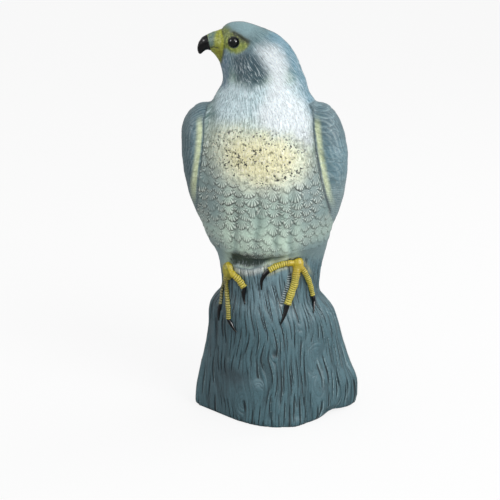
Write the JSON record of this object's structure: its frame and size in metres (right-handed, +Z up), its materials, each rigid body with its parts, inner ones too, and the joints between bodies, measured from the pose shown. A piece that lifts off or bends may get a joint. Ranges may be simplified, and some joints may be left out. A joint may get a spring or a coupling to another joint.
{
  "type": "bird decoy",
  "caption": "Hollow moulded falcon decoy perched on a stump, with bead eyes, clawed feet, a base cover and a pull-out stopper for ballast.",
  "frame": {"origin": "the middle of the footprint, on the ground that the stump's rim stands on", "axes": "+Z up, the breast faces -Y, and the turned head points its beak to -X"},
  "size_m": [0.1841, 0.1255, 0.41],
  "materials": {
    "shell_front": "moulded polyethylene with a matte sprayed paint",
    "shell_back": "moulded polyethylene with a matte sprayed paint",
    "feet": "satin yellow paint",
    "talons": "gloss black",
    "beak": "gloss black",
    "eyes": "polished black bead",
    "washers": "plain pressed steel",
    "cover": "moulded, unpainted",
    "stopper": "soft matte rubber"
  },
  "bodies": {
    "decoy": {"front_shell": "shell_front", "back_shell": "shell_back", "left_eye": "eyes", "left_eye_washer": "washers", "right_eye": "eyes", "right_eye_washer": "washers", "left_foot": "feet", "left_inner_talon": "talons", "left_middle_talon": "talons", "left_outer_talon": "talons", "right_foot": "feet", "right_inner_talon": "talons", "right_middle_talon": "talons", "right_outer_talon": "talons", "beak_hook": "beak", "base_cover": "cover"},
    "stopper": {"fill_stopper": "stopper"}
  },
  "joints": [
    {"name": "stopper_pull", "type": "slide", "parent": "decoy", "child": "stopper", "axis": [0, 0, -1], "range_m": [0, 0.02]}
  ]
}
